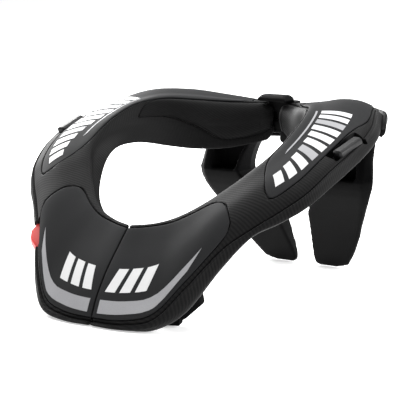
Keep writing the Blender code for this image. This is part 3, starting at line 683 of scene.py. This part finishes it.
def padded_half(side_name, side):
    """The fabric-covered half with its recesses, each edge of cloth rolled into its seam."""
    half = new_piece("padding_" + side_name, half_mesh("padding"), rib_cloth, side)
    for rows, layers, across in (
        (chest_rows, panel_recess, 12), (shoulder_rows, panel_recess, 12), (pad_rows, pad_recess, 10),
    ):
        slab = skin_slab("cut", rows, layers, across, recess_step)
        take_away(half, new_piece("cut", slab, None, side))
    seat = hook_seat()
    reach = (hook_back - hook_front).length / 2 + hook_half_wide + hook_reach
    scoop = box_cutter(
        seat, (-reach, -scoop_in, -hook_depth - fit), (reach, scoop_out, past_skin))
    scoop_piece = new_piece("cut", scoop, None, side)
    round_edges(scoop_piece, scoop_round, 4)
    take_away(half, scoop_piece)
    take_away(half, hinge_room(side))
    low, high = (hinge_middle + up * hinge_room_tall / 2 for up in (-1, 1))
    middle = box_cutter(
        Matrix.Identity(4), (-past_skin, hinge_back, low),
        (hinge_spread, hinge_back + past_skin, high),
    )
    take_away(half, new_piece("cut", middle, None, side))
    if side > 0:
        corners = [v.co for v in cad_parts["front_latch"].data.vertices]
        centre = sum(corners, Vector((0, 0, 0))) / len(corners)
        grown = [c + (c - centre).normalized() * latch_pocket for c in corners]
        take_away(half, new_piece("cut", hull_mesh(grown), None))
    else:
        notch = box_cutter(
            tab_seat(),
            (-tab_long / 2 - fit, -tab_deep - tab_travel - fit, -tab_thick - fit),
            (tab_long / 2 + fit, past_skin, notch_top),
        )
        take_away(half, new_piece("cut", notch, None, side))
    shade(half, 42)
    return half


def dressed(node_name, material, edge, seat=None, side=1):
    """A copy of a hard CAD piece, its triangles joined into faces and its edges rounded.

    A hook is given its seat, about which it gets stouter and shorter.
    """
    copy = bpy.data.objects.new(node_name + "_moulding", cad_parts[node_name].data.copy())
    bpy.context.scene.collection.objects.link(copy)
    copy.data.materials.clear()
    copy.data.materials.append(material)
    only(copy)
    bpy.ops.object.mode_set(mode="EDIT")
    bpy.ops.mesh.select_all(action="SELECT")
    bpy.ops.mesh.remove_doubles(threshold=0.02 * MM)
    bpy.ops.mesh.dissolve_limited(angle_limit=math.radians(1.0))
    bpy.ops.object.mode_set(mode="OBJECT")
    if seat:
        seat = Matrix.Scale(side, 4, (1, 0, 0)) @ seat
        for vertex in copy.data.vertices:
            local = seat.inverted() @ vertex.co
            vertex.co = seat @ Vector((local.x * hook_shorter, local.y * hook_stouter, local.z))
    if edge:
        round_edges(copy, edge, 3)
    shade(copy, 35)
    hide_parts(node_name)
    return copy


def lower_back(piece):
    """The block is low behind its cap."""
    low = (-past_skin, hinge_back + cap_back, block_low)
    high = (past_skin, hinge_back + past_skin, block_low + past_skin)
    take_away(piece, new_piece("cut", box_cutter(Matrix.Identity(4), low, high), None))


def soften(piece, grain, rounds):
    """Round all edges of a moulding and run its forms into one another."""
    remesh = piece.modifiers.new("even", "REMESH")
    remesh.mode = "VOXEL"
    remesh.voxel_size = grain
    even = piece.modifiers.new("soft", "SMOOTH")
    even.factor = 0.5
    even.iterations = rounds
    apply_all(piece)
    shade(piece, 60)


def paint_pocket_shade(piece):
    """Painted shade: a matt, less glossy black in and around the stabiliser's two pockets, but not on
    its outer sides, darkening them as the shade under the foam above.
    """
    piece.data.materials.append(matt_plastic_and_pocket_shade)
    # faces in the pockets' shade get the matt black as painted shade
    for face in piece.data.polygons:
        where, way = face.center, face.normal
        high = pocket_foot < where.z < pocket_top
        beside = abs(where.x) > pocket_inner and where.y < pocket_back
        outward = way.x * where.x > 0.4 * abs(where.x)
        if high and beside and not outward:
            face.material_index = 1


def pad_height(turn, share):
    """Crown of an inner pad, fattest before the lobes meet, rounded off at both ends."""
    thin, full = pad_fat_turns
    grown = min(1.0, max(0.0, (turn - thin) / (full - thin)))
    fat = pad_crown + pad_swell * grown * grown * (3 - 2 * grown)
    ends = (turn - pad_rows[0][0], pad_rows[-1][0] - turn)
    for from_end, reach in zip(ends, pad_round_turns):
        left = 1 - min(1.0, max(0.0, from_end / reach))
        fat *= math.sqrt(1 - left * left)
    return fat * max(0.0, math.sin(math.pi * share)) ** 0.55


# Printed films: slanted bars and stripes on the panels, as (turn, place) corners
chest_whites = (
    ((3.0, 2.75), (7.5, 2.75), (10.5, 1.85), (6.0, 1.85)),
    ((9.5, 2.75), (14.0, 2.75), (17.0, 1.85), (12.5, 1.85)),
    ((16.0, 2.75), (20.5, 2.75), (23.5, 1.85), (19.0, 1.85)),
)
chest_greys = (
    ((2.0, 3.60), (24.0, 3.52), (35.0, 3.30), (40.0, 2.90), (31.0, 3.02), (20.0, 3.08), (2.0, 3.08)),
)


bar_count = 10
bar_first, bar_pitch, bar_wide, bar_lean = 65.4, 4.3, 2.9, 1.7
shoulder_stripe = ((76, 0.86), (108, 0.74), (108, 0.64), (78, 0.76))
film_lift = 0.16 * MM
film_grid = (2.5, 0.2)      # the films bend to the skin every so many degrees and places


def shoulder_prints():
    """Leaning bars along the shoulder, every fourth of them grey, beside one long stripe."""
    whites, greys = [], [shoulder_stripe]
    for k in range(bar_count):
        inner = max(0.94, 1.62 - 0.11 * k)
        outer = min(2.66, 2.50 + 0.06 * k)
        start = bar_first + bar_pitch * k
        lean = start + bar_lean
        bar = ((start, outer), (start + bar_wide, outer), (lean + bar_wide, inner), (lean, inner))
        (greys if k % 4 == 3 else whites).append(bar)
    return whites, greys


def film_mesh(shapes):
    """Thin films on a panel: each outline is filled, cut into a grid and draped over the skin."""
    shape = bmesh.new()
    turns, places = film_grid
    for corners in shapes:
        shape.faces.new([shape.verts.new((turn / turns, at / places, 0)) for turn, at in corners])
    for way in (Vector((1, 0, 0)), Vector((0, 1, 0))):
        farthest = max(v.co.dot(way) for v in shape.verts)
        for step in range(math.ceil(farthest)):
            bmesh.ops.bisect_plane(
                shape, geom=shape.verts[:] + shape.edges[:] + shape.faces[:],
                plane_co=way * step, plane_no=way,
            )
    bmesh.ops.solidify(shape, geom=shape.faces[:], thickness=1.0)
    lowest = min(v.co.z for v in shape.verts)
    for vertex in shape.verts:
        turn, along = vertex.co.x * turns, vertex.co.y * places
        above = film_lift if vertex.co.z > lowest + 0.5 else film_lift * 0.2
        vertex.co = skin_point(turn, along) + skin_normal(turn, along) * above
    mesh = bpy.data.meshes.new("film")
    shape.to_mesh(mesh)
    shape.free()
    return mesh


for side_name, side in (("left", 1), ("right", -1)):
    body = side_name + "_half"
    half = padded_half(side_name, side)
    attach(half, body)
    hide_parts("foam_frame_" + side_name)

    for label, rows in (("chest", chest_rows), ("shoulder", shoulder_rows)):
        mesh = skin_slab(label + "_panel", rows, panel_layers, 26, 1.2)
        panel = new_piece(f"{label}_panel_{side_name}_skin", mesh, panel_rubber, side)
        shade(panel, 50)
        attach(panel, body)
        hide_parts(f"{label}_panel_{side_name}")

    mesh = skin_slab("inner_pad", pad_rows, pad_layers, 36, 0.5, pad_height)
    pad = new_piece("neck_pad_" + side_name, mesh, shaded_pad_cloth, side)
    take_away(pad, hinge_room(side))
    shade(pad, 50)
    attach(pad, body)
    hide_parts("inner_pad_" + side_name)

    shoulder_whites, shoulder_greys = shoulder_prints()
    for label, shapes, colour in (
        ("chest_white", chest_whites, white_film), ("chest_grey", chest_greys, grey_film),
        ("shoulder_white", shoulder_whites, white_film),
        ("shoulder_grey", shoulder_greys, grey_film),
    ):
        film = new_piece(f"{label}_film_{side_name}", film_mesh(shapes), colour, side)
        shade(film, 40)
        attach(film, body)

    hook = dressed("strap_hook_" + side_name, hook_plastic, 0.9 * MM, hook_seat(), side)
    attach(hook, body)

    mesh = skin_slab("rear_shell", shell_rows, shell_layers, 14, 1.0)
    shell = new_piece("rear_shell_" + side_name + "_cover", mesh, black_plastic, side)
    shade(shell, 50)
    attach(shell, body)
    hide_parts("rear_shell_" + side_name)

    for part_name, material in (("hinge_arm_", black_plastic), ("hinge_pin_", steel)):
        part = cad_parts[part_name + side_name]
        part.data.materials.clear()
        part.data.materials.append(material)

for node_name, body, material, edge, slot_name in (
    ("rear_stabiliser", "stabiliser", black_plastic, 0, "black_plastic"),
    ("hinge_block", "stabiliser", black_plastic, 0, "black_plastic"),
    ("front_latch", "left_half", matt_plastic_and_pocket_shade, 0.8 * MM, "black_plastic"),
    ("release_tab", "tab", red_plastic, 0.9 * MM, "red_plastic"),
):
    piece = dressed(node_name, material, edge)
    if node_name == "hinge_block":
        lower_back(piece)
        soften(piece, 0.7 * MM, 14)
    if node_name == "rear_stabiliser":
        soften(piece, 1.2 * MM, 9)
        # the pockets' faces take the matt black as painted shade
        paint_pocket_shade(piece)
    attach(piece, body)

# Floor, light and camera
bpy.ops.object.select_all(action="DESELECT")
bpy.ops.mesh.primitive_plane_add(size=24, location=(0, 0, -0.0005))
floor = bpy.context.object
floor.name = "studio_floor"
floor_material, _, floor_shader = new_material("pale_floor", (0.80, 0.80, 0.80), 0.85)
floor_shader.inputs["Emission Color"].default_value = (1.0, 1.0, 1.0, 1.0)
floor_shader.inputs["Emission Strength"].default_value = 0.5
floor.data.materials.append(floor_material)

world = bpy.data.worlds.new("studio")
bpy.context.scene.world = world
world.use_nodes = True
world.node_tree.nodes["Background"].inputs[0].default_value = (1.0, 1.0, 1.0, 1.0)
world.node_tree.nodes["Background"].inputs[1].default_value = 0.50


def softbox(name, where, towards, size, power):
    light = bpy.data.lights.new(name, "AREA")
    light.shape = "RECTANGLE"
    light.size, light.size_y = size
    light.energy = power
    lamp = bpy.data.objects.new(name, light)
    lamp.location = where
    lamp.rotation_euler = (Vector(towards) - Vector(where)).to_track_quat("-Z", "Y").to_euler()
    bpy.context.scene.collection.objects.link(lamp)


softbox("top_light", (-0.3, 0.2, 1.7), (0, 0, 0.1), (2.2, 2.0), 46)
softbox("left_light", (-1.1, 0.4, 0.55), (0, 0, 0.08), (0.7, 0.5), 20)
softbox("right_light", (1.3, 0.45, 0.50), (0.0, 0, 0.08), (0.6, 0.6), 23)

camera_data = bpy.data.cameras.new("camera")
camera_data.sensor_width = 36.0
camera_data.lens = 36.0 * 2050 / 416
camera_data.clip_end = 60
camera_data.dof.use_dof = False
camera = bpy.data.objects.new("camera", camera_data)
camera.matrix_world = axes_matrix(
    Vector((0.9831, -1.0948, 0.3296)),
    Vector((0.75076, 0.65920, -0.04266)),
    Vector((-0.08626, 0.16186, 0.98303)),
    Vector((0.65492, -0.73435, 0.17838)),
)
bpy.context.scene.collection.objects.link(camera)
bpy.context.scene.camera = camera
bpy.context.scene.view_settings.view_transform = "Standard"
